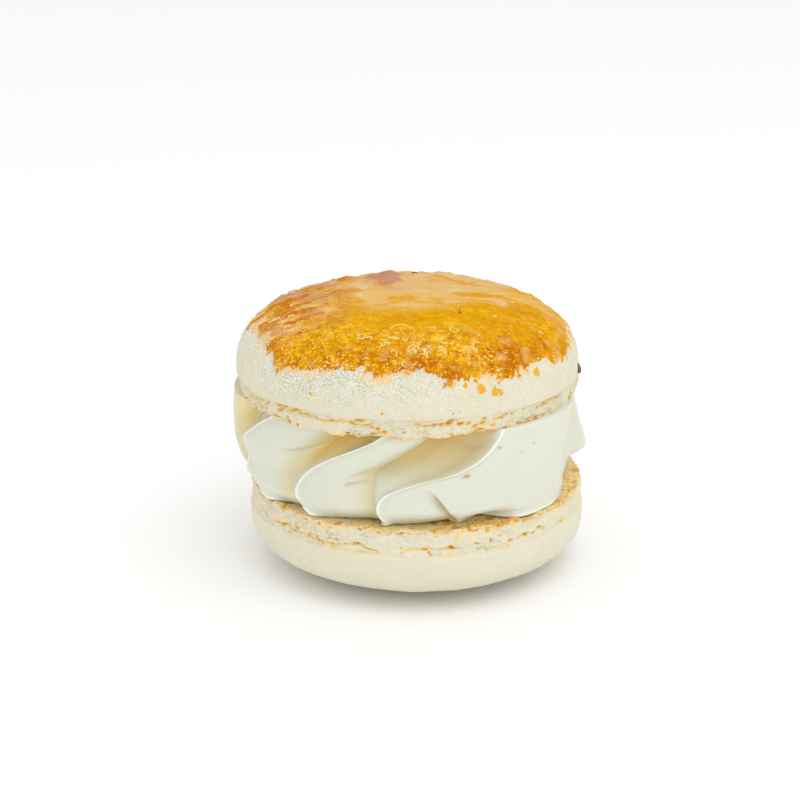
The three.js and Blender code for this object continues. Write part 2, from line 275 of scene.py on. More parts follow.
def torched_crust(base):
    """The torched sugar over the dome: its relief and painted values.

    The relief is a slow wave, a finer wander and small domes round random points. Burn
    is strongest in a band inside the front edge, and in slanting streaks on the left.
    Dullness, a matt coating that is partly painted sheen, covers the middle and the back,
    broken by pale streaks and livelier on the brim at the back. Brown lies between the
    streaks on the left and on a flake at the back. The halo is a toasted band just
    outside the edge, and the crust thins out in pale patches at its left rim.
    """
    x, y = base[..., 0], base[..., 1]
    away = np.hypot(x, y)
    degrees = np.degrees(np.arctan2(x, -y))
    margin = along_dome(caramel_edge(degrees)) - along_dome(away)
    ragged = 0.5 * noise(base, 1.8, 61) + 0.85 * rough(base, 0.6, 62, 2)
    inside = ease(margin + ragged + 0.5)
    halo = ease((margin + 0.7 + ragged + 1.3 * noise(base, 2.6, 60)) / 0.8)
    wander = rough(base, 2.6, 64)
    fine = rough(base, 0.75, 65, 2)
    blister, _ = bubbles(base, 1.3, 66)
    smooth_side = ease((x - 2) / 7) * ease((y + 18.5) / 3)
    lively = ease((away - 13.5) / 5) * mix(1.0, 0.25, ease((y + 9) / 8)) * (1 - 0.75 * smooth_side)
    lively *= 0.55 + 0.45 * ease(0.5 + 1.4 * noise(base, 2.2, 75))
    # Places: the flake behind, the back, the left, and the brim at the back.
    flake_span = np.hypot((x + 3.2) / 3.4, (y - 10.8) / 4.8)
    flake = ease((1 + 0.35 * noise(base, 1.5, 70) - flake_span) / 0.25)
    rear = ease((y - 2) / 6)
    left = ease((-x - 6) / 6) * ease((y + 15) / 5)
    brim = rear * ease((away - 15.5) / 4) * ease(0.55 + 1.5 * noise(base, 3.0, 79))
    lively = np.maximum(lively, np.maximum(0.45 * left * ease((13 - np.abs(y)) / 4), 0.6 * brim))

    level = mix(-0.08, 0.08, ease((away - 8) / 10))
    relief = level + 0.26 * noise(base, 4.6, 63) + mix(0.12, 0.28, rear) * wander
    relief += flake * (0.32 + 0.2 * wander) + 0.08 * rear * fine
    relief += lively * (0.14 * (1 - blister**2) + 0.14 * fine)

    front = bell(margin - 1.2, 2.8) * bell(degrees + 2, 55)
    side = bell(away - 20, 4) * bell(degrees - 72, 24) * ease(0.3 + 1.6 * noise(base, 2.4, 80))
    right = bell(away - 22, 2.6) * bell(degrees - 40, 9) + 0.9 * side
    burn = 0.36 + 0.14 * wander + 0.1 * fine + 0.5 * front + 0.4 * right

    lean = math.radians(15)
    along = x * math.cos(lean) + y * math.sin(lean)
    across = y * math.cos(lean) - x * math.sin(lean)
    streaks = rough(stacked(0.5 * along, across, 0.0), 1.5, 67)
    patches = rough(stacked(0.6 * x, y, 0.0), 2.6, 69)
    burn += left * (0.18 + 0.95 * np.maximum(streaks, 0))
    # Painted sheen: dull_film_and_sheen is partly a real matt coating and partly the bright room's
    # reflection painted on, over the middle and the back.
    dull_film_and_sheen = np.maximum(ease((12.4 - away + 1.6 * wander) / 7), ease((y + 4.6 + 3 * wander) / 9))
    dull_film_and_sheen = np.maximum(dull_film_and_sheen, 0.75 * left)
    dull_film_and_sheen = dull_film_and_sheen * (1 - 0.75 * ease(1.8 * patches)) * (1 - left * ease(0.05 + 2.5 * streaks))
    dull_film_and_sheen = np.maximum(dull_film_and_sheen, 0.6 * ease(1.7 * rough(base, 1.6, 77) - 0.45) * ease((away - 14) / 4))
    dull_film_and_sheen = np.maximum(dull_film_and_sheen, 0.85 * smooth_side * ease((y + 8) / 8) * ease(0.5 - 1.8 * patches))
    dull_film_and_sheen *= 1 - 0.5 * np.maximum(left, brim) * ease(0.2 + 1.6 * rough(base, 0.6, 78, 2))
    dull_film_and_sheen *= 1 - 0.5 * brim

    back = ease((y + 1) / 7) * ease((4 - x) / 8)
    brown = 0.7 * left * ease(1.5 * noise(base, 2.8, 68) - streaks) + flake * (0.85 + 0.3 * fine)
    brown += 0.6 * back * ease(0.2 + 1.5 * noise(base, 2.6, 72))
    wisp = bell(noise(stacked(0.35 * x + 1, y + 0.7, 0.9), 2.4, 73), 0.14)
    wisp = wisp * ease((y + 11) / 5) * ease((20 - away) / 6) * (1 - 0.8 * flake)
    wisp *= ease(0.4 + 1.6 * noise(base, 2.2, 74))
    thin = left * ease((away - 17) / 3) * ease(2.2 * noise(base, 1.9, 84) + 0.2 - streaks)
    # Painted sheen: pale makes the coating paler towards the back.
    painted = dict(
        caramel=inside * (1 - 0.65 * thin), burn=burn, brown=brown, dull_film_and_sheen=dull_film_and_sheen, halo=halo,
        lively=lively, wisp=wisp, pale=ease((y + 2 + 2 * wander) / 9),
    )
    return relief * inside, {key: np.clip(value, 0, 1) for key, value in painted.items()}


def around_from(angle, middle):
    """How far an angle is from another one, the short way round."""
    return np.angle(np.exp(1j * (angle - middle)))


def crumb(base, shell):
    """The foot's crumbly wall: relief and toasted colour.

    Lumps are noises added together, and crumbs are domes round random points with
    crevices between. A crack wanders round near the dome, broken into lengths. Pits are
    where a noise is high, more of them along two level lines.
    """
    seed = shell["seed"]
    foot = shell["foot"]
    z = base[..., 2]
    level = base * np.array((1.0, 1.0, 1.7))
    wander = 0.42 * noise(base, 3.0, seed + 20) + 0.22 * rough(base, 0.9, seed + 21, 2)
    broken = ease(noise(base, 2.2, seed + 22) * 3 + 0.5)
    crack = bell(z - 0.74 * foot - wander, 0.17) * broken
    lines = bell(z - 0.72 * foot, 0.5) + bell(z - 0.35, 0.45)
    hole = noise(level, 0.8, seed + 30) + 0.5 * noise(base, 0.45, seed + 31)
    pit = ease((hole - 0.8 + 0.42 * lines) / 0.25)
    deep = ease((hole - 0.92 + 0.42 * lines) / 0.2)
    nick = ease((noise(base, 0.5, seed + 35) - 0.4) / 0.3)
    grain = rough(base, 0.6, seed + 4, 2)
    lump = 0.2 * noise(base, 1.7, seed + 3) + 0.15 * grain
    uneven = 1 + 0.04 * noise(base, 0.7, seed + 51)[..., None]
    first, second = bubbles(level * uneven, 1.05, seed + 50)
    loose = ease(0.6 + 1.2 * noise(base, 2.4, seed + 52))
    crevice = loose * ease((0.16 - second + first) / 0.16)
    relief = lump + loose * (0.36 * (0.45 - first) - 0.16 * crevice)
    relief = relief - 0.38 * crack - 0.35 * pit - 0.12 * deep - 0.1 * nick
    mottle = 0.02 + 0.17 * ease(0.1 + 1.3 * noise(base, 0.9, seed + 5) - 0.6 * grain)
    toasted = mottle + 0.66 * crack + 0.5 * pit + 0.35 * deep + 0.12 * nick + 0.08 * crevice
    return relief, np.clip(toasted, 0, 1)


# Deeply toasted spots on the upper shell's foot: degrees, height down from the dome, size.
SPOTS = [
    (-9.5, 1.4, 0.32), (-7.5, 1.9, 0.36), (19.5, 0.9, 0.3), (22, 1.5, 0.34), (24.5, 1.2, 0.4),
    (28, 1.8, 0.3), (-47, 0.2, 0.55), (-40, 0.5, 0.35), (95, 1.2, 0.4), (140, 1.5, 0.35),
    (188, 1.0, 0.4), (194, 1.6, 0.3), (236, 1.3, 0.4),
]


def grain_spread(base):
    """How thickly unmelted sugar lies on the dome: most just below the crust's front edge."""
    x, y, z = base[..., 0], base[..., 1], base[..., 2]
    turn = np.arctan2(x, -y)
    edge = np.clip(caramel_edge(np.degrees(turn)) / SHELL_RADIUS, 0, 1)
    top = (1 - edge ** UPPER["side_curve"]) ** (1 / UPPER["crown_curve"]) * UPPER_DOME
    below = np.maximum(UPPER_FOOT + top - z, 0)
    sides = 0.12 + 0.9 * bell(around_from(turn, -0.36), 0.62) + 0.6 * bell(around_from(turn, 2.6), 0.7)
    return np.clip(sides * np.exp(-((below / 3.4) ** 2)), 0, 1)


def shell_surface(shell):
    """Points and painted values of a shell, dome up with its flat face at height 0."""
    profile = shell_profile(shell)
    r, z = (side[:, None] for side in profile)
    out, up = (side[:, None] for side in profile_normals(*profile))
    angle = np.linspace(0, TURN, SHELL_COLUMNS, endpoint=False)
    base = round_axis(angle, r, z)
    seed = shell["seed"]
    foot = shell["foot"]

    on_face = ease((0.3 - z) / 0.3) * ease((r - 12) / 4)
    on_foot = ease((z + 0.1) / 0.3) * ease((foot + 0.1 - z) / 0.35)
    on_dome = ease((z - foot) / 0.5)
    crumbly, toasted = crumb(base, shell)
    ruffle = 0.3 * noise(base, 3.2, seed + 2)
    seam = bell(z - foot, 0.2)
    relief = on_foot * (ruffle + crumbly - 0.34) - 0.12 * seam

    # The flat face is toasted and pitted, and only ever sunk below its plane.
    hole = noise(base, 1.0, seed + 40) + 0.4 * noise(base, 0.5, seed + 41)
    pitted = ease((hole - 0.35) / 0.3)
    grit = rough(base, 0.7, seed + 6, 2)
    relief -= on_face * (0.04 + 0.04 * grit + 0.2 * pitted)
    relief += on_dome * (0.1 * noise(base, 7.0, seed + 7) + 0.04 * noise(base, 1.6, seed + 8))
    gold = 0.5 + 0.4 * pitted + 0.2 * noise(base, 1.3, seed + 9) - 0.22 * ease(grit * 2)
    gold += 0.42 * bell(around_from(angle, math.radians(shell["hot"])), 0.5)
    # Painted light: the lower shell's toast is lessened up to about 0.9 mm outside where the cream meets
    # it, which lightens the face against the shade under the cream.
    if not shell["sugared"]:
        contact = footprint(turned_front(math.pi - angle))
        gold *= 1 - 0.25 * ease((contact + 0.9 - r) / 0.9)
    near_rim = ease((r - 20) / 1.5) * ease((1.3 - z) / 1.1) * ease(0.75 + noise(base, 1.8, seed + 11))
    golden = np.maximum(on_face, shell["rim"] * near_rim) * gold
    toast = np.maximum(on_foot * toasted, golden)
    toast = np.clip(toast + 0.2 * seam * ease(noise(base, 4, seed + 10) + 0.5), 0, 1)
    values = {"toast": toast}

    if shell["sugared"]:
        for degrees, drop, size in SPOTS:
            across = around_from(angle, math.radians(degrees)) * SHELL_RADIUS
            near = bell(np.hypot(across[None, :] / 1.4, z - foot + drop), size)
            toast = np.maximum(toast, on_foot * near * 1.2)
            relief -= 0.35 * on_foot * near
        values["toast"] = np.clip(toast, 0, 1)
        crust, painted = torched_crust(base)
        above = ease((z - foot - 1) / 0.5)
        relief += above * crust
        values.update({key: above * value for key, value in painted.items()})
        uncovered = on_dome * (1 - painted["caramel"])
        grains = grain_spread(base)
        relief += uncovered * (0.05 + 0.06 * grains) * rough(base, 0.6, seed + 60, 2)
        values["grainy"] = uncovered * grains * (1 - 0.7 * painted["halo"])
    points = base + round_axis(angle, relief * out, relief * up)

    # Ragged lower rim of the foot.
    ragged = 0.02 + 0.28 * noise(base, 2.2, seed + 70) + 0.18 * noise(base, 0.9, seed + 71)
    points[..., 2] += ragged * ease((r - 22.5) / 1.5) * ease((0.5 * foot - z) / (0.5 * foot))
    return points, values


def make_lower_shell(material):
    """The lower shell, turned over about the X axis, with a flat spot to rest on."""
    points, values = shell_surface(LOWER)
    points = points * np.array((LOWER_NARROW, -1.0, -1.0)) + (LOWER_ASIDE, 0.0, LOWER_FACE)
    away = np.hypot(points[..., 0], points[..., 1])
    z = points[..., 2]
    settled = np.maximum(z, 0.0) * ease((away - REST_RADIUS) / 1.5)
    points[..., 2] = np.where(z < LOWER_DOME * 0.5, settled, z)
    poles = [(0.0, 0.0, LOWER_FACE), (0.0, 0.0, 0.0)]
    return closed_body("almond_shell_lower", points, poles, values, material)


def make_upper_shell(material):
    points, values = shell_surface(UPPER)
    poles = np.array([(0.0, 0.0, 0.0), (0.0, 0.0, points[-1, :, 2].mean())])
    return closed_body(
        "almond_shell_upper", points + UPPER_PLACE, poles + UPPER_PLACE, values, material
    )


# ---- Sugar on the upper shell ----
def dome_spot(angle, radius):
    """Points and outward directions on the upper shell's dome at a distance from its axis."""
    p, q = UPPER["side_curve"], UPPER["crown_curve"]
    share = np.clip(radius / SHELL_RADIUS, 1e-4, 0.9999)
    lift = (1 - share**p) ** (1 / q)
    out = p / SHELL_RADIUS * share ** (p - 1)
    up = q / UPPER_DOME * lift ** (q - 1)
    size = np.hypot(out, up)
    spot = round_axis(angle, radius, UPPER_FOOT + UPPER_DOME * lift) + UPPER_PLACE
    return spot, round_axis(angle, out / size, up / size)


def side_spot(angle, height):
    """The same, at a height above the dome's foot."""
    p, q = UPPER["side_curve"], UPPER["crown_curve"]
    share = (1 - (height / UPPER_DOME) ** q) ** (1 / p)
    return dome_spot(angle, share * SHELL_RADIUS)


def random_turns(rng, count):
    """Random rotations: the matrices of evenly spread quaternions."""
    spread = rng.normal(size=(count, 4))
    return np.array([Quaternion(turn).normalized().to_matrix() for turn in spread])


CUBE = np.array([(x, y, z) for x in (-1, 1) for y in (-1, 1) for z in (-1, 1)], dtype=float)
CUBE_FACES = np.array([
    (0, 1, 3, 2), (4, 6, 7, 5), (0, 4, 5, 1), (2, 3, 7, 6), (0, 2, 6, 4), (1, 5, 7, 3),
])
GRAIN_TRIES = 9000


def make_grains(material):
    """Unmelted sugar: small tilted blocks in the dome below the crust and on its edge."""
    rng = np.random.default_rng(SEED)
    angle = rng.uniform(0, TURN, GRAIN_TRIES)
    height = rng.uniform(1.5, 6.6, GRAIN_TRIES)
    spot, up = side_spot(angle, height)
    base = spot - UPPER_PLACE
    _, painted = torched_crust(base)
    bare = (1 - painted["caramel"]) * (1 - 0.7 * painted["halo"])
    inward = caramel_edge(np.degrees(angle)) - np.hypot(base[..., 0], base[..., 1])
    bare = np.maximum(bare, 0.3 * bell(inward - 0.2, 0.5))
    kept = rng.uniform(0, 1, GRAIN_TRIES) < 0.8 * grain_spread(base) * bare
    spot, up = spot[kept], up[kept]
    number = len(spot)
    size = rng.uniform(0.06, 0.13, (number, 1, 1)) * rng.uniform(0.75, 1.25, (number, 1, 3))
    blocks = (CUBE[None] * size) @ random_turns(rng, number).transpose(0, 2, 1)
    points = (spot + 0.01 * up)[:, None, :] + blocks
    faces = (CUBE_FACES[None] + 8 * np.arange(number)[:, None, None]).reshape(-1, 4)
    return add_piece("sugar_grains", points.reshape(-1, 3), faces.tolist(), material, smooth=False)


BLOB_ROWS = 14
BLOB_COLUMNS = 20


def blob_points(centre, up, size, flat, seed):
    """A lumpy rounded drop: a sphere pressed flat along up, its radius varied by noise.

    Its rings come first, from the top down, and then the two poles.
    """
    polar = np.linspace(0, math.pi, BLOB_ROWS)[:, None]
    turn = np.linspace(0, TURN, BLOB_COLUMNS, endpoint=False)[None, :]
    ball = stacked(np.sin(polar) * np.cos(turn), np.sin(polar) * np.sin(turn), np.cos(polar))
    ball = ball * (1 + 0.32 * noise(ball + seed, 0.8, seed)[..., None])
    ball[0], ball[-1] = ball[0].mean(axis=0), ball[-1].mean(axis=0)
    along = np.cross(up, (0.0, 0.0, 1.0) if abs(up[2]) < 0.9 else (1.0, 0.0, 0.0))
    along = along / np.linalg.norm(along)
    across = np.cross(up, along)
    axes = np.stack([along * size, across * size, up * size * flat])
    ball = centre + ball @ axes
    return np.concatenate([ball[1:-1].reshape(-1, 3), ball[:1, 0], ball[-1:, 0]])


def make_blobs(name, spots, material):
    """Several drops as one piece; each is (point, outward direction, radius, flatness)."""
    drops = [blob_points(*spot, SEED + k) for k, spot in enumerate(spots)]
    faces = []
    for k, drop in enumerate(drops):
        closed = closed_faces(BLOB_ROWS - 2, BLOB_COLUMNS, k * len(drop))
        faces += [face[::-1] for face in closed]
    return add_piece(name, np.concatenate(drops), faces, material)


# Caramel drops below the crust: degrees, height above the dome's foot, radius.
DROPS = [
    (23.6, 3.8, 0.62), (28.6, 3.15, 0.6), (30.2, 2.9, 0.42), (46.6, 4.3, 0.6), (18.3, 4.4, 0.4),
    (-32, 2.5, 0.26), (-8, 1.0, 0.2), (14, 0.9, 0.22), (103, 4.2, 0.5), (134, 4.4, 0.3),
    (176, 4.2, 0.45), (179, 3.6, 0.3), (228, 4.0, 0.4),
]
DROP_FLATNESS = 0.36
# Burnt specks: degrees, distance from the axis, radius, flatness.
BURNT = [
    (37.6, 11.9, 0.2, 0.5), (41, 11.0, 0.16, 0.5), (193, 14.5, 0.7, 0.3), (176, 15.5, 0.5, 0.3),
]
# The dark lump at the right edge: degrees, and height above the dome's foot.
LUMP = (80, 0.9)
# Bubble rims in the crust: degrees, distance from the axis, radius. The first three are
# whole, and random ones are added in front and over the rest.
CLOSED_RINGS = 3
FRONT_RINGS = 26
OTHER_RINGS = 22
FURTHEST_RING = 22.3
RINGS = [
    (-2.8, 15.9, 1.45), (11, 15.9, 0.8), (22.3, 16.6, 0.6), (2, 20.0, 0.7), (-2.8, 20.9, 0.6),
    (5, 20.6, 0.5), (8, 20.9, 0.8), (12, 21.2, 0.6), (16, 18.7, 0.7), (22.5, 20.8, 0.6),
    (-12, 19.5, 0.5), (28, 20.4, 0.8), (-20, 18, 0.6), (4, 18.4, 0.6), (-7, 18.2, 0.5),
]
RING_STEPS = 24
RING_SIDES = 6
RING_THICKNESS = 0.085


def ring_tube(angle, radius, size, start, sweep, seed):
    """A wavering arc that lies on the torched crust, with a thin round section along it."""
    turn = start + sweep * np.linspace(0, 1, RING_STEPS)
    arm = stacked(np.cos(turn), np.sin(turn), 0.0)
    waver = 1 + 0.25 * noise(arm + seed, 0.6, seed)
    x = radius * math.sin(angle) + arm[:, 0] * size * waver
    y = -radius * math.cos(angle) + arm[:, 1] * size * waver
    spot, up = dome_spot(np.arctan2(x, -y), np.minimum(np.hypot(x, y), 24.0))
    crust, _ = torched_crust(spot - UPPER_PLACE)
    path = spot + up * (crust + 0.01 + 0.05 * noise(arm * size + seed, 0.5, seed))[:, None]
    along = np.gradient(path, axis=0)
    along = along / np.linalg.norm(along, axis=1, keepdims=True)
    across = np.cross(along, up)
    thin = RING_THICKNESS * np.sin(math.pi * np.linspace(0.08, 0.92, RING_STEPS)) ** 0.5
    around = np.linspace(0, TURN, RING_SIDES, endpoint=False)[None, :, None]
    section = np.cos(around) * across[:, None, :] + np.sin(around) * up[:, None, :]
    return path[:, None, :] + section * thin[:, None, None]


def make_rings(material):
    """Broken rims of burst bubbles in the crust, as one piece of thin tubes, coloured pale as painted
    highlights.
    """
    rng = np.random.default_rng(SEED + 1)
    rings = [(math.radians(a), r, size) for a, r, size in RINGS]
    sectors = FRONT_RINGS * [(-0.3, 0.55, 17.5)] + OTHER_RINGS * [(0.6, TURN - 0.9, 15)]
    for first, last, nearest in sectors:
        angle, radius = rng.uniform(first, last), rng.uniform(nearest, FURTHEST_RING)
        rings.append((angle, radius, rng.uniform(0.2, 0.6)))
    points, faces = [], []
    corners = RING_STEPS * RING_SIDES
    for k, (angle, radius, size) in enumerate(rings):
        sweep = TURN if k < CLOSED_RINGS else rng.uniform(1.8, 5.2)
        tube = ring_tube(angle, radius, size, rng.uniform(0, TURN), sweep, k)
        points.append(tube.reshape(-1, 3))
        start, end = k * corners, (k + 1) * corners
        faces += ring_faces(RING_STEPS, RING_SIDES, start)[:, ::-1].tolist()
        faces.append(list(range(start, start + RING_SIDES)))
        faces.append(list(range(end - 1, end - RING_SIDES - 1, -1)))
    return add_piece("bubble_rims", np.concatenate(points), faces, material)


def make_drops(material):
    spots = []
    for degrees, height, size in DROPS:
        spot, up = side_spot(math.radians(degrees), height)
        spots.append((spot, up, size, DROP_FLATNESS))
    return make_blobs("caramel_drops", spots, material)


def make_burnt(material):
    """Burnt specks on the crust, and the dark lump, which is two drops."""
    spots = []
    for degrees, radius, size, flat in BURNT:
        spot, up = dome_spot(math.radians(degrees), radius)
        spots.append((spot + 0.1 * up, up, size, flat))
    degrees, height = LUMP
    spot, up = side_spot(math.radians(degrees), height)
    spots.append((spot + 0.1 * up, up, 0.6, 0.55))
    spots.append((spot + np.array((0.0, 0.3, 0.45)), up, 0.4, 0.5))
    return make_blobs("burnt_sugar", spots, material)


# ---- Piped cream ----
CREAM_ROWS = 150
LEAN = 0.4
BEAD = 0.18
TOP_EDGE = 0.35
EDGE_ROUND = 0.2
EDGE_POWER = 1.6
# One degree round the cream's side, in millimetres.
SIDE_DEGREE = math.radians(24.3)


def behind(angle, sweep):
    """Lip and groove lines of a lobe that hooks back at its foot and leans as it climbs."""
    steps = ((0, 0.12), (0.12, 0.02), (0.26, 0), (0.42, 0.14), (0.6, 0.4), (0.8, 0.7), (1, 1))
    gaps = (5, 3.5, 3.5, 5, 9, 15, 22)
    lip = [(share, angle + sweep * turn) for share, turn in steps]
    return lip, [(share, at - gap) for (share, at), gap in zip(lip, gaps)]


LIP_RIGHT, GROOVE_RIGHT = behind(126, 36)
LIP_BACK, GROOVE_BACK = behind(168, 32)
LIP_FAR, GROOVE_FAR = behind(212, 30)

# Each lobe is a fold of cream left by one tooth of the nozzle. Its lip and the groove on
# its right are lines of points, each a share of the cream's height and an angle. Its face
# runs from the lip to the groove, and the flank from there climbs to the next lobe's lip.
# depth is the groove's depth and reach the lip's distance from the axis, both by height.
# tint is how golden the painted shade in its hollow is, painted_face_shade how golden the painted
# shade on its face is, and line how dark the painted shade along the groove's bottom is.
# The folds run from the small one left of the middle to the right.
HIDDEN = dict(
    face=36, flank=24, bulge=5, tint=0.8, line=0.3, depth=[(0, 1.4), (0.4, 2.2), (0.7, 4.4), (1, 5.4)],
)
LOBES = [
    dict(face=56, flank=40, bulge=5, tint=0.72, line=0.55,
         reach=[(0, 24.0), (0.3, 24.4), (0.7, 24.3), (1, 23.8)],
         depth=[(0, 1.2), (0.3, 1.6), (0.5, 2.4), (0.6, 3.2), (0.75, 4.4), (1, 5.5)],
         lip=[(0, -36.5), (0.12, -41.2), (0.27, -42.6), (0.38, -41), (0.5, -37.8),
              (0.62, -33.3), (0.72, -28), (0.83, -21), (1, -10)],
         groove=[(0, -11.5), (0.1, -13.6), (0.3, -15), (0.44, -15), (0.54, -14.3),
                 (0.6, -12.2), (0.71, -5.1), (0.83, 1.3), (0.9, 5.5), (1, 10)]),
    dict(face=150, flank=30, bulge=7, tint=0.4, line=0.2,
         reach=[(0, 24.0), (0.3, 24.5), (0.7, 24.5), (1, 24.3)],
         depth=[(0, 1.5), (0.3, 3.0), (1, 3.6)],
         lip=[(0, -8.5), (0.12, -12), (0.26, -12.5), (0.38, -9.9), (0.47, -4.1), (0.54, 2.5),
              (0.6, 10.9), (0.68, 17.4), (0.77, 22), (0.85, 24.8), (1, 28.8)],
         groove=[(0, 72), (0.3, 72), (0.55, 73), (0.8, 76), (1, 80)]),
    dict(face=50, flank=30, bulge=4, tint=0.7, line=0.3,
         reach=[(0, 22.2), (0.17, 22.4), (0.24, 23.9), (0.3, 24.9), (0.42, 24.7),
                (0.6, 24.1), (1, 23.6)],
         depth=[(0, 1.4), (0.4, 2.2), (0.7, 4.4), (1, 5.2)],
         lip=[(0, 86), (0.2, 88), (0.37, 90), (0.55, 95), (0.8, 102), (1, 110)],
         groove=GROOVE_RIGHT),
    dict(HIDDEN, reach=[(0, 23.8), (0.3, 24.8), (0.7, 24.6), (1, 23.8)],
         lip=LIP_RIGHT, groove=GROOVE_BACK),
    dict(HIDDEN, reach=[(0, 24.0), (0.35, 25.2), (0.7, 24.8), (1, 24.0)],
         lip=LIP_BACK, groove=GROOVE_FAR),
    dict(face=64, flank=16, bulge=16, tint=0.35, line=0.2, painted_face_shade=0.15,
         reach=[(0, 24.6), (0.1, 25.4), (0.25, 26.3), (0.4, 26.9), (0.65, 26.8), (1, 26.2)],
         depth=[(0, 1.5), (0.3, 3.6), (0.7, 4.0), (1, 4.0)],
         lip=LIP_FAR, groove=[(0, 283), (0.2, 279), (0.5, 277), (0.7, 280), (0.85, 286), (1, 292)]),
    dict(face=64, flank=36, bulge=5, tint=1.08, line=0.15,
         reach=[(0, 24.0), (0.14, 24.9), (0.3, 24.4), (0.5, 25.1), (0.7, 24.6), (1, 23.9)],
         depth=[(0, 0.8), (0.25, 1.2), (0.45, 2), (0.6, 3.0), (0.75, 3.8), (1, 4.6)],
         lip=[(0, 288), (0.14, 283), (0.28, 282.5), (0.42, 280.5), (0.52, 281), (0.69, 289),
              (0.83, 296), (0.95, 303), (1, 306)],
         groove=[(0, 318), (0.1, 315.5), (0.23, 313.7), (0.34, 313.8), (0.47, 317.1),
                 (0.57, 320.1), (0.66, 323.7), (0.77, 327.3), (0.86, 330.9), (1, 337)]),
]

# Where the cream meets the lower shell: angles and distances from the axis.
FOOTPRINT = [
    (-84, 23.0), (-60, 24.5), (-52, 22.0), (-43, 21.5), (-40, 24.1), (-30, 22.1), (-17, 20.5),
    (-13, 21.0), (-11.6, 23.3), (-8, 22.0), (1.5, 21.4), (12, 20.5), (14.5, 22.3), (25.7, 19.8),
    (32, 22.5), (37, 24.7), (48, 24.3), (62, 23.2), (80, 21.5), (86, 22.0), (100, 22.5),
    (120, 21.1), (130, 23.9), (145, 22.3), (162, 20.9), (171, 23.9), (190, 22.1), (206, 21.1),
    (215, 24.3), (240, 23.7), (262, 23.5), (276, 23.0),
]
# The big lobe's left edge, lying over the small fold beside it: heights and angles.
OVERLAP = [(12.6, 15.2), (13.4, 13.9), (15.2, 10.4), (16.5, 8.3), (17.8, 6.0), (18.9, 3.5)]


def curve_through(points, x):
    """A smooth curve through points: cubic pieces whose slopes come from the neighbours."""
    xs, ys = np.array(points, dtype=float).T
    k = np.clip(np.searchsorted(xs, x, side="right") - 1, 0, len(xs) - 2)
    before = np.maximum(k - 1, 0)
    after = np.minimum(k + 2, len(xs) - 1)
    width = xs[k + 1] - xs[k]
    straight = (ys[k + 1] - ys[k]) / width
    slope0 = (ys[k + 1] - ys[before]) / (xs[k + 1] - xs[before])
    slope1 = (ys[after] - ys[k]) / (xs[after] - xs[k])
    t = (x - xs[k]) / width
    bend = (1 - t) * (slope0 - straight) - t * (slope1 - straight)
    return mix(ys[k], ys[k + 1], t) + t * (1 - t) * width * bend


def turned_front(angle):
    """The same angle in degrees, within the span of FOOTPRINT."""
    return turned_from(FOOTPRINT[0][0], np.degrees(angle))


def footprint(degrees):
    """The cream's distance from the axis where it meets the lower shell."""
    return np.interp(degrees, *np.array(FOOTPRINT).T)


def left_of_overlap(degrees, height):
    """Millimetres to the left of the big lobe's left edge."""
    return (np.interp(height, *np.array(OVERLAP).T) - degrees) * SIDE_DEGREE


def overlap_drop(degrees, height):
    """The small fold is lower beside the big lobe's edge, and rises again to its left."""
    left = left_of_overlap(degrees, height)
    fade = ease((18.9 - height) / 2.5)
    return 1.2 * fade * ease(left / 0.25) * np.exp(-np.maximum(left - 0.25, 0) / 1.8)


def recess(degrees, height):
    """The big lobe's foot, hollowed out in front on the right."""
    return 3.0 * ease((14.2 - height) / 0.4) * bell(degrees - 25.5, 7)


def wrinkle(degrees, height, line, drop, width):
    """A thin crease along a line of angles and heights: a notch that is steeper above."""
    x = degrees * SIDE_DEGREE
    corners = np.array(line) * (SIDE_DEGREE, 1.0)
    nearest = np.full(x.shape, 1e9)
    signed = np.zeros(x.shape)
    along = np.zeros(x.shape)
    count = len(line) - 1
    for k, ((ax, ay), (bx, by)) in enumerate(zip(corners, corners[1:])):
        dx, dy = bx - ax, by - ay
        t = np.clip(((x - ax) * dx + (height - ay) * dy) / (dx * dx + dy * dy), 0, 1)
        ox, oy = x - ax - t * dx, height - ay - t * dy
        away = np.hypot(ox, oy)
        closer = away < nearest
        signed = np.where(closer, np.sign(dx * oy - dy * ox) * away, signed)
        along = np.where(closer, (k + t) / count, along)
        nearest = np.where(closer, away, nearest)
    fade = ease(along * 3) * ease((1 - along) * 3)
    below = np.maximum(-signed, 0)
    above = np.maximum(signed, 0)
    return drop * fade * np.exp(-below / width) * np.exp(-above / 0.15)


# Fine creases: angles and heights along each, its depth, and its width below the line.
WRINKLES = [
    dict(line=[(-25, 19.2), (-17.2, 20.5), (-12.1, 21.1), (-6, 22.6)], drop=0.5, width=0.35),
    dict(line=[(-25, 18.1), (-22.5, 18.7), (-18.1, 19), (-13, 18.6)], drop=0.45, width=0.3),
    dict(line=[(-52, 21.4), (-44, 21.8), (-37.8, 22.6), (-31, 23.9)], drop=0.45, width=0.35),
]
# Small holes left by air in the cream: degrees, height, radius.
PORES = [
    (27.6, 23.7, 0.3), (40.9, 23.3, 0.24), (16, 20.3, 0.42), (-46.6, 17.7, 0.24),
    (-45.7, 16.7, 0.2), (-42.6, 20.3, 0.2), (56, 17.6, 0.18), (35.4, 22.5, 0.16), (3, 15.6, 0.18),
]


def pores(degrees, height):
    """How deep the cream's small holes go."""
    total = 0.0
    for angle, level, size in PORES:
        away = np.hypot((degrees - angle) * SIDE_DEGREE, (height - level) * 1.4)
        total = total + 0.7 * size * bell(away, size)
    return total


def painted_crease_shade(degrees, height, creases, holes):
    """Painted shade: where the cream is tinted darker, in its creases and holes and beside the
    overlapping edge.
    """
    left = left_of_overlap(degrees, height)
    beside = np.exp(-np.maximum(left, 0) / 0.4) * ease((left + 0.1) / 0.2) * ease((18.4 - height) / 3)
    return np.clip(0.9 * creases + 1.6 * beside + 3.6 * holes, 0, 1)


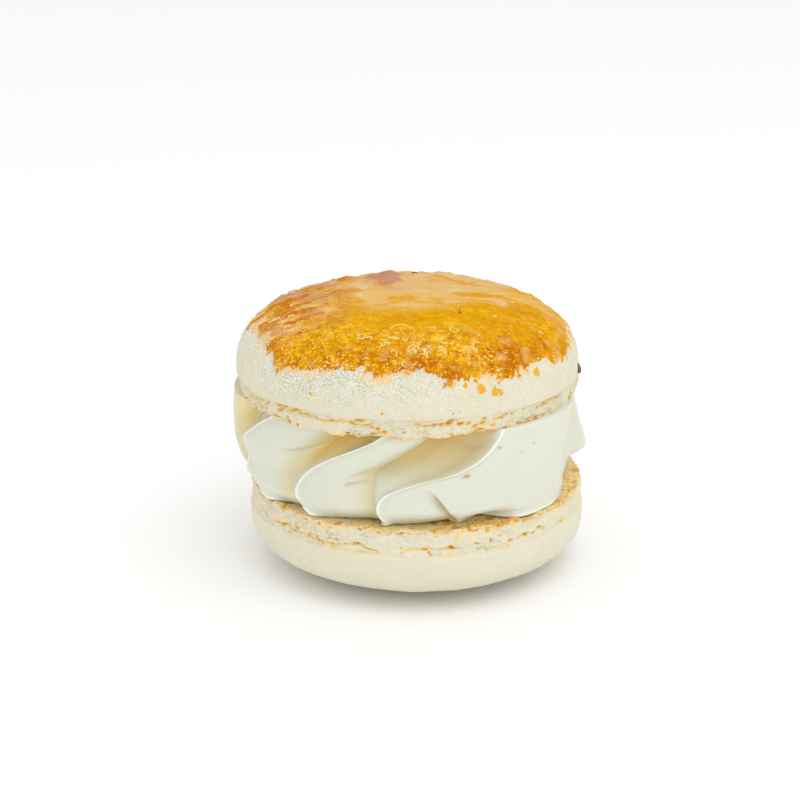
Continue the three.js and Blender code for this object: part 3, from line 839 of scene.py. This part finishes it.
def fold_of_cream(lobe, after, share):
    """One lobe's points and painted values: a plump face, then a hollow flank up to a lip."""
    start = curve_through(lobe["lip"], share)
    groove = curve_through(lobe["groove"], share)
    end = curve_through(after["lip"], share)
    # The last lobe meets the first one again.
    if end.mean() < groove.mean():
        end = end + 360.0
    reach = curve_through(lobe["reach"], share)
    next_reach = curve_through(after["reach"], share)
    depth = curve_through(lobe["depth"], share)
    ahead = curve_through(after["lip"], np.minimum(share + 0.04, 1))
    climb = np.radians(ahead - curve_through(after["lip"], np.maximum(share - 0.04, 0))) / 0.08
    slope = np.arctan2(CREAM_HEIGHT, next_reach * climb)

    # The face, with a bead along its lip.
    a = np.linspace(0, 1, lobe["face"], endpoint=False)[None, :]
    face_angle = mix(start, groove, a)
    away = np.radians(face_angle - start) * reach
    bead = BEAD * (1.6 * bell(away, 0.35) - 0.6 * bell(away - 0.9, 0.6))
    drop = depth * (0.05 * a + 0.95 * a ** lobe["bulge"])
    face = reach + bead + 0.25 * np.sin(math.pi * a) - drop

    # The flank, leaning in under the next lip.
    w = np.linspace(0, 1, lobe["flank"], endpoint=False)[None, :]
    w = mix(w, ease(w), 0.5)
    flank_angle = mix(groove, end, w)
    rise = w**2.2
    flank = mix(reach - depth, next_reach + 1.6 * BEAD, rise)
    under = (next_reach - flank) * ease((w - 0.35) / 0.4)
    faded = np.minimum(1, np.minimum(8 * share, 8 * (1 - share)))
    shear = LEAN * faded * np.maximum(under, 0)
    sideways = np.degrees(shear * np.sin(slope) / flank)

    angle = np.concatenate([face_angle, flank_angle + sideways], axis=1)
    radius = np.concatenate([face, flank], axis=1)
    level = share * CREAM_HEIGHT + np.zeros_like(radius)
    level[:, lobe["face"]:] -= shear * np.cos(slope)

    degrees = turned_front(np.radians(angle))
    height = level + LOWER_FACE
    front = np.abs(degrees) < 75
    creases = front * sum(wrinkle(degrees, height, **crease) for crease in WRINKLES)
    holes = front * pores(degrees, height)
    radius = radius - front * overlap_drop(degrees, height) * (degrees > -13)
    radius = radius - creases - holes - recess(degrees, height)
    bottom = np.clip(level / (EDGE_ROUND * CREAM_HEIGHT), 0, 1)
    rounded = 1 - (1 - bottom) ** EDGE_POWER
    radius = mix(np.minimum(footprint(degrees), radius), radius, rounded)

    # Painted shade: golden in the hollow and on the face near the groove, more on lobes with
    # painted_face_shade, and a darker line along the groove's bottom.
    groove_shade = 0.8 * lobe["line"] * bell(np.radians(angle - groove) * radius, 0.4) * ease(share / 0.3)
    near = 0.3 * bell(np.radians(groove - face_angle) * reach, 3.4)
    near += lobe.get("painted_face_shade", 0) * (1 + 1.6 * ease((share - 0.6) / 0.3))
    golden = lobe["tint"] * depth / 5 * mix(0.6, 1, ease((share - 0.4) / 0.3))
    # Painted highlights: pale along each lip, along the lower edge in front and on the big lobe's right
    # side.
    lip = np.concatenate([bell(away, 0.35), bell((1 - w) * (end - groove) * 0.42, 0.2)], axis=1)
    underside_highlight = 0.8 * bell(level - 0.3, 0.3) * front
    right_edge_highlight = 0.6 * bell(degrees - 66, 4) * ease((24 - height) / 4)
    painted = dict(
        hollow=np.concatenate([near + golden * a**6, golden * (1 - rise) ** 0.5], axis=1),
        lip=np.maximum(lip, np.maximum(underside_highlight, right_edge_highlight)),
        crease=np.maximum(painted_crease_shade(degrees, height, creases, holes) * front, groove_shade),
    )
    return round_axis(np.radians(angle), radius, level), painted


def cream_surface():
    """Rings of the swirl and their painted values, lobe by lobe."""
    even = np.linspace(0, 1, CREAM_ROWS)
    share = mix(even, ease(even), 0.3)[:, None]
    folds = [fold_of_cream(lobe, after, share) for lobe, after in zip(LOBES, LOBES[1:] + LOBES[:1])]
    rings = np.concatenate([points for points, _ in folds], axis=1)
    rings[..., 2] *= (CREAM_HEIGHT - 2 * SEAT_GAP) / CREAM_HEIGHT
    rings[..., 2] += LOWER_FACE + SEAT_GAP + TOP_EDGE * ease((share - 0.93) / 0.07)
    values = {}
    for key in ("hollow", "lip", "crease"):
        values[key] = np.concatenate([painted[key] for _, painted in folds], axis=1)
    return rings, values


def make_cream(material):
    rings, values = cream_surface()
    inner = np.array((0.5, 0.5, 1.0))
    last = rings[-1:] * inner - np.array((0.0, 0.0, TOP_EDGE))
    rings = np.concatenate([rings[:1] * inner, rings, last])
    values = {key: np.concatenate([v[:1], v, v[-1:]]) for key, v in values.items()}
    poles = [(0, 0, LOWER_FACE + SEAT_GAP), (0, 0, UPPER_FACE - SEAT_GAP)]
    return closed_body("cream_swirl", rings, poles, values, material)


# ---- Materials ----
def linear(red, green, blue):
    """Screen values from 0 to 255 as linear colour."""
    def one(v):
        v = v / 255
        return v / 12.92 if v <= 0.04045 else ((v + 0.055) / 1.055) ** 2.4
    return (one(red), one(green), one(blue), 1.0)


class Graph:
    """Short calls for adding nodes to a material or group."""

    def __init__(self, tree):
        self.tree = tree

    def node(self, kind, **settings):
        node = self.tree.nodes.new(kind)
        for key, value in settings.items():
            setattr(node, key, value)
        return node

    def link(self, source, target):
        self.tree.links.new(source, target)

    def attribute(self, name):
        return self.node("ShaderNodeAttribute", attribute_name=name).outputs["Fac"]

    def blend(self, factor, first, second):
        """Two colours mixed; the factor is kept between 0 and 1."""
        node = self.node("ShaderNodeMix", data_type="RGBA")
        for index, value in ((0, factor), (6, first), (7, second)):
            self.put(node.inputs[index], value)
        return node.outputs[2]

    def ramp(self, value, colour, stops):
        """More colours laid over one as a value climbs, each between two limits."""
        for low, high, over in stops:
            colour = self.blend(self.steps(value, low, high), colour, over)
        return colour

    def maths(self, operation, first, second):
        node = self.node("ShaderNodeMath", operation=operation)
        self.put(node.inputs[0], first)
        self.put(node.inputs[1], second)
        return node.outputs[0]

    def plus(self, first, second):
        return self.maths("ADD", first, second)

    def times(self, first, second):
        return self.maths("MULTIPLY", first, second)

    def swung(self, value, middle, swing):
        """A value moved to swing round 0, and made stronger."""
        return self.times(self.maths("SUBTRACT", value, middle), swing)

    def steps(self, value, low, high, to_low=0.0, to_high=1.0):
        """A smooth step of a value between two limits."""
        node = self.node("ShaderNodeMapRange", interpolation_type="SMOOTHSTEP")
        for socket, number in zip(node.inputs[:5], (value, low, high, to_low, to_high)):
            self.put(socket, number)
        return node.outputs[0]

    def put(self, socket, value):
        if isinstance(value, bpy.types.NodeSocket):
            self.link(value, socket)
        else:
            socket.default_value = value

    def noise(self, size, detail, roughness=0.5):
        """Noise on object coordinates whose features are about size millimetres."""
        place = self.node("ShaderNodeTexCoord").outputs["Object"]
        node = self.node("ShaderNodeTexNoise")
        self.link(place, node.inputs["Vector"])
        node.inputs["Scale"].default_value = 1 / (size * MM)
        node.inputs["Detail"].default_value = detail
        node.inputs["Roughness"].default_value = roughness
        return node.outputs["Fac"]


def new_group(name, inputs, outputs):
    """An empty shader node group with named sockets: the group, its graph, entry and exit."""
    tree = bpy.data.node_groups.new(name, "ShaderNodeTree")
    for label, kind in inputs:
        tree.interface.new_socket(label, in_out="INPUT", socket_type=kind)
    for label, kind in outputs:
        tree.interface.new_socket(label, in_out="OUTPUT", socket_type=kind)
    graph = Graph(tree)
    return tree, graph, graph.node("NodeGroupInput"), graph.node("NodeGroupOutput")


def placed(graph, tree):
    """The group as a node in a material."""
    node = graph.node("ShaderNodeGroup")
    node.node_tree = tree
    return node


def soft(weight, spread, reach):
    """Shader settings for light that spreads under the surface, up to reach millimetres."""
    return {"Subsurface Weight": weight, "Subsurface Radius": spread, "Subsurface Scale": reach * MM}


class Surface(Graph):
    """A new material's graph, with a shader that is fed by name."""

    def __init__(self, name, settings):
        self.material = bpy.data.materials.new(name)
        self.material.use_nodes = True
        self.material.node_tree.nodes.clear()
        super().__init__(self.material.node_tree)
        self.shader = self.node("ShaderNodeBsdfPrincipled")
        output = self.node("ShaderNodeOutputMaterial")
        self.link(self.shader.outputs[0], output.inputs["Surface"])
        for key, value in settings.items():
            self.feed(key, value)

    def feed(self, name, value):
        self.put(self.shader.inputs[name], value)

    def bump(self, height, distance, strength):
        """Small relief: a height from 0 to 1, and how many millimetres that is."""
        node = self.node("ShaderNodeBump")
        node.inputs["Strength"].default_value = strength
        node.inputs["Distance"].default_value = distance * MM
        self.link(height, node.inputs["Height"])
        self.feed("Normal", node.outputs["Normal"])


def meringue_group():
    """The almond shell's colour: pale, with tan mottling and golden toasted places."""
    tree, graph, entry, leave = new_group(
        "meringue", [("Toast", "NodeSocketFloat")], [("Colour", "NodeSocketColor")]
    )
    toast = entry.outputs["Toast"]
    broken = graph.swung(graph.noise(0.38, 3, 0.6), 0.5, 2.2)
    toast = graph.plus(toast, graph.times(broken, graph.steps(toast, 0.02, 0.25)))
    skin = graph.blend(graph.noise(4.0, 2), linear(222, 220, 201), linear(216, 211, 188))
    mottling = graph.steps(graph.noise(0.6, 3), 0.48, 0.72, 0.0, 0.65)
    skin = graph.blend(mottling, skin, linear(222, 206, 164))
    golden = [(0.03, 0.55, linear(238, 209, 140)), (0.5, 1.0, linear(216, 160, 66))]
    graph.link(graph.ramp(toast, skin, golden), leave.inputs["Colour"])
    return tree


def almond_colour(graph, meringue):
    """The almond shell's colour, from the toast painted on it."""
    almond = placed(graph, meringue)
    graph.link(graph.attribute("toast"), almond.inputs["Toast"])
    return almond.outputs["Colour"]


def shell_material(meringue):
    """Pale almond meringue, golden in its cracks and on its flat face."""
    settings = {"Roughness": 0.75, "Specular IOR Level": 0.2, **soft(0.3, (1.0, 0.75, 0.45), 0.5)}
    graph = Surface("almond_shell", settings)
    graph.feed("Base Color", almond_colour(graph, meringue))
    graph.bump(graph.noise(0.35, 3), 0.1, 0.6)
    return graph.material


def sugared_material(meringue):
    """The almond shell with its torched sugar, amber to dark brown, under a matt coating that is partly
    painted sheen, with painted glints.
    """
    settings = {"Coat Roughness": 0.15, "Specular IOR Level": 0.0, **soft(0.12, (1.0, 0.7, 0.35), 0.5)}
    graph = Surface("torched_shell", settings)
    grain = graph.noise(0.36, 2)
    lively = graph.attribute("lively")
    sandy = graph.blend(graph.steps(grain, 0.42, 0.58), linear(214, 198, 156), linear(222, 227, 219))
    skin = graph.blend(graph.attribute("grainy"), almond_colour(graph, meringue), sandy)

    # Amber to brown by how burnt it is, speckled where it is lively.
    speckle = graph.plus(graph.noise(0.46, 3, 0.6), graph.noise(1.2, 2))
    mottle = graph.swung(speckle, 1.0, graph.plus(0.8, graph.times(lively, 1.9)))
    burn = graph.plus(graph.attribute("burn"), mottle)
    sugar = graph.ramp(burn, linear(233, 184, 34), [
        (0.0, 0.35, linear(217, 155, 4)),
        (0.35, 0.7, linear(206, 136, 2)),
        (0.7, 1.15, linear(188, 102, 1)),
    ])
    # Over it lie a matt coating that is partly painted sheen, painted glints, pale wisps and brown
    # scorched sugar.
    # Painted sheen: the coating's colour stands partly for the bright room's reflection, and pale turns
    # it paler towards the back.
    film_and_sheen = graph.blend(graph.noise(2.0, 3), linear(227, 184, 92), linear(222, 181, 126))
    film_and_sheen = graph.blend(graph.attribute("pale"), film_and_sheen, linear(217, 180, 130))
    dull_film_and_sheen = graph.plus(graph.attribute("dull_film_and_sheen"), graph.steps(grain, 0.3, 0.7, -0.25, 0.15))
    # Painted highlights: pale yellow specks in the lively crust stand for glints; the same spots get a
    # little coat.
    painted_glint = graph.times(graph.steps(graph.noise(0.38, 2), 0.58, 0.67), lively)
    scorched = graph.blend(graph.noise(2.0, 3), linear(190, 122, 76), linear(190, 144, 132))
    layers = [
        (dull_film_and_sheen, 0.9, film_and_sheen), (painted_glint, 0.8, linear(252, 218, 120)),
        (graph.attribute("wisp"), 0.5, linear(232, 206, 160)), (graph.attribute("brown"), 0.9, scorched),
    ]
    for cover, strength, colour in layers:
        sugar = graph.blend(graph.times(cover, strength), sugar, colour)

    # The crust's edge is broken up by grains, and the skin outside it is toasted.
    edge = graph.plus(graph.attribute("caramel"), graph.swung(grain, 0.5, 2.4))
    mask = graph.steps(edge, 0.42, 0.58)
    halo = graph.times(graph.attribute("halo"), graph.steps(grain, 0.42, 0.6, 0.9, 0.3))
    skin = graph.blend(halo, skin, linear(236, 194, 130))
    graph.feed("Base Color", graph.blend(mask, skin, sugar))
    graph.feed("Roughness", graph.steps(mask, 0, 1, 0.8, 0.4))
    graph.feed("Coat Weight", graph.times(graph.times(mask, painted_glint), 0.3))
    graph.bump(graph.plus(grain, graph.noise(1.0, 4)), 0.2, 0.7)
    return graph.material


def set_sugar_group():
    """Set caramel's mottling between two colours, and the height of its small dents."""
    tree, graph, entry, leave = new_group(
        "set_sugar",
        [("Light", "NodeSocketColor"), ("Dark", "NodeSocketColor")],
        [("Colour", "NodeSocketColor"), ("Height", "NodeSocketFloat")],
    )
    mottled = graph.blend(graph.noise(0.9, 3), entry.outputs["Light"], entry.outputs["Dark"])
    graph.link(mottled, leave.inputs["Colour"])
    graph.link(graph.noise(0.4, 3), leave.inputs["Height"])
    return tree


def amber_material(name, set_sugar, light, dark, roughness):
    """Set caramel: clear and glossy, mottled between two colours."""
    graph = Surface(name, {
        "Roughness": roughness, "Specular IOR Level": 0.25, "Coat Weight": 0.2,
        "Coat Roughness": 0.1, **soft(0.3, (1.0, 0.6, 0.2), 0.5),
    })
    sugar = placed(graph, set_sugar)
    sugar.inputs["Light"].default_value = light
    sugar.inputs["Dark"].default_value = dark
    graph.feed("Base Color", sugar.outputs["Colour"])
    graph.bump(sugar.outputs["Height"], 0.05, 0.5)
    return graph.material


def grain_material():
    """White sugar crystals, a little glassy."""
    graph = Surface("sugar_crystal", {"Roughness": 0.35})
    tint = graph.blend(graph.noise(3.0, 2), linear(228, 234, 230), linear(226, 226, 212))
    graph.feed("Base Color", tint)
    return graph.material


def cream_material():
    """Smooth ivory buttercream, with painted shade, golden and darker, down in its folds and creases,
    and painted highlights along its lips.
    """
    graph = Surface("ivory_cream", {"Roughness": 0.42, **soft(0.4, (1.0, 1.0, 0.8), 0.9)})
    body = graph.blend(graph.noise(6.0, 2), linear(217, 220, 206), linear(213, 213, 195))
    # Painted highlight: pale bluish white along the lips and edges.
    body = graph.ramp(graph.attribute("lip"), body, [(0.3, 1.0, linear(236, 244, 240))])
    # Painted shade: darker brown in the creases, holes and beside the overlapping edge.
    body = graph.blend(graph.times(graph.attribute("crease"), 0.9), body, linear(192, 164, 70))
    # Painted shade: golden in the hollows, along the grooves and on the faces near them.
    body = graph.ramp(graph.attribute("hollow"), body, [
        (0.06, 0.45, linear(213, 206, 172)),
        (0.3, 0.9, linear(233, 210, 143)),
        (0.8, 1.15, linear(239, 197, 104)),
    ])
    graph.feed("Base Color", body)
    graph.bump(graph.noise(1.5, 3), 0.03, 0.5)
    return graph.material


# ---- Stage ----
def make_floor():
    side = 3000.0
    points = side * np.array([(-1, -1, 0), (1, -1, 0), (1, 1, 0), (-1, 1, 0)])
    ground = Surface("pale_ground", {"Base Color": linear(250, 250, 250), "Roughness": 0.9})
    floor = add_piece("pale_floor", points, [(0, 1, 2, 3)], ground.material, smooth=False)


def make_light(name, place, target, size, power):
    """A round lamp at a place, aimed at a target."""
    data = bpy.data.lights.new(name, "AREA")
    data.shape = "DISK"
    data.size = size
    data.energy = power
    light = bpy.data.objects.new(name, data)
    SCENE.collection.objects.link(light)
    light.location = place
    light.rotation_euler = (Vector(target) - Vector(place)).to_track_quat("-Z", "Y").to_euler()


def make_world():
    world = bpy.data.worlds.new("soft_room")
    world.use_nodes = True
    light = world.node_tree.nodes["Background"].inputs
    light["Color"].default_value = (1, 1, 1, 1)
    light["Strength"].default_value = 0.97
    SCENE.world = world
    SCENE.view_settings.view_transform = "Standard"


def make_camera():
    """A level camera that looks down at the macaron from in front."""
    target = Vector((-0.002216, 0.0, 0.023431))
    fall = math.radians(18.108)
    distance = 0.2689
    data = bpy.data.cameras.new("camera")
    data.sensor_width = 36.0
    data.lens = 82.7
    data.clip_start = 0.005
    camera = bpy.data.objects.new("camera", data)
    SCENE.collection.objects.link(camera)
    camera.location = target + distance * Vector((0, -math.cos(fall), math.sin(fall)))
    camera.rotation_euler = (target - camera.location).to_track_quat("-Z", "Y").to_euler()
    SCENE.camera = camera


def build():
    make_camera()
    make_world()
    make_floor()
    centre = (0, 0, 0.02)
    make_light("window", (0.22, -0.22, 0.55), centre, size=0.5, power=0.7)
    make_light("front_fill", (0.05, -0.6, 0.13), centre, size=0.4, power=0.42)
    meringue = meringue_group()
    set_sugar = set_sugar_group()
    almond = shell_material(meringue)
    torched = sugared_material(meringue)
    cream = cream_material()
    lower = make_lower_shell(almond)
    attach(lower, "root")
    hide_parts("shell_lower")
    upper = make_upper_shell(torched)
    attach(upper, "root")
    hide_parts("shell_upper")
    amber = amber_material("amber_caramel", set_sugar, linear(238, 180, 14), linear(226, 156, 4), 0.3)
    burnt = amber_material("burnt_caramel", set_sugar, linear(150, 96, 70), linear(92, 52, 42), 0.4)
    # Painted highlight: the bubble rims' pale caramel colour stands for light glinting off the crust's
    # bumps.
    rim = amber_material("highlight_caramel", set_sugar, linear(255, 240, 176), linear(253, 224, 128), 0.25)
    toppings = (make_grains(grain_material()), make_drops(amber), make_burnt(burnt), make_rings(rim))
    for piece in toppings:
        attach(piece, "root")
    swirl = make_cream(cream)
    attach(swirl, "root")
    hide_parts("cream_filling")


build()
